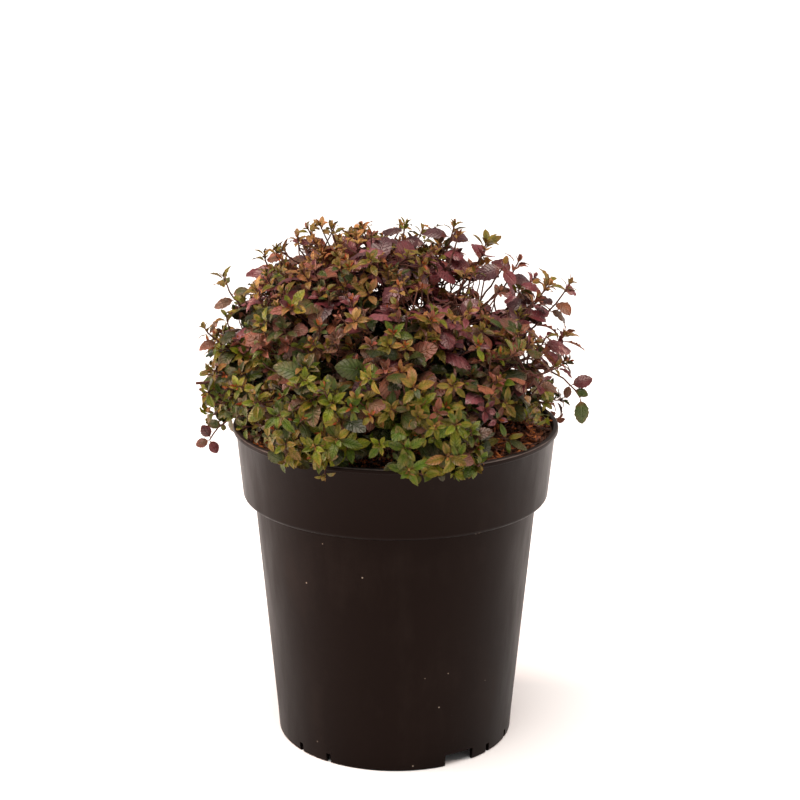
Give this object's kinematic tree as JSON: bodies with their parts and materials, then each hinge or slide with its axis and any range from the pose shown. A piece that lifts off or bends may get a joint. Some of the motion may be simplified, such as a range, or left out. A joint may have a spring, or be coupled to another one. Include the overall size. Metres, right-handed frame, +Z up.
{
  "type": "potted spirea shrub",
  "caption": "Low domed flowering shrub in leaf, green below and burgundy above, in a round black nursery pot; stands on the pot's flat foot.",
  "frame": {"origin": "centre of the pot's footprint on the ground, which is also below the middle of the crown's reach", "axes": "+Z up along the pot's axis, -Y towards the front of the plant as pictured, +X to its right"},
  "size_m": [0.234, 0.2328, 0.3098],
  "materials": {
    "pot_plastic": "black recycled polypropylene, satin, dusty and faintly scratched",
    "bark_mulch": "moist bark mulch over a peat substrate",
    "crown_bark": "grey-brown bark, fissured",
    "stem_bark": "thin reddish-brown bark, satin",
    "leaf_green": "green leaf, satin above",
    "leaf_bronze": "bronze leaf, satin above",
    "leaf_purple": "burgundy leaf, satin above"
  },
  "bodies": {
    "root": {"pot": "pot_plastic", "growing_medium": "bark_mulch", "crown_stem": "crown_bark", "bough_01": "stem_bark", "bough_02": "stem_bark", "bough_03": "stem_bark", "bough_04": "stem_bark", "bough_05": "stem_bark", "bough_06": "stem_bark", "bough_07": "stem_bark", "bough_08": "stem_bark", "bough_09": "stem_bark", "bough_10": "stem_bark", "bough_11": "stem_bark", "bough_12": "stem_bark", "bough_13": "stem_bark", "bough_14": "stem_bark", "bough_15": "stem_bark", "bough_16": "stem_bark", "bough_17": "stem_bark", "bough_18": "stem_bark", "foliage_01": "leaf_purple", "foliage_02": "leaf_purple", "foliage_03": "leaf_purple", "foliage_04": "leaf_purple", "foliage_05": "leaf_purple", "foliage_06": "leaf_bronze", "foliage_07": "leaf_purple", "foliage_08": "leaf_bronze", "foliage_09": "leaf_purple", "foliage_10": "leaf_purple", "foliage_11": "leaf_green", "foliage_12": "leaf_purple", "foliage_13": "leaf_bronze", "foliage_14": "leaf_green", "foliage_15": "leaf_purple", "foliage_16": "leaf_green", "foliage_17": "leaf_bronze", "foliage_18": "leaf_bronze"}
  },
  "joints": []
}
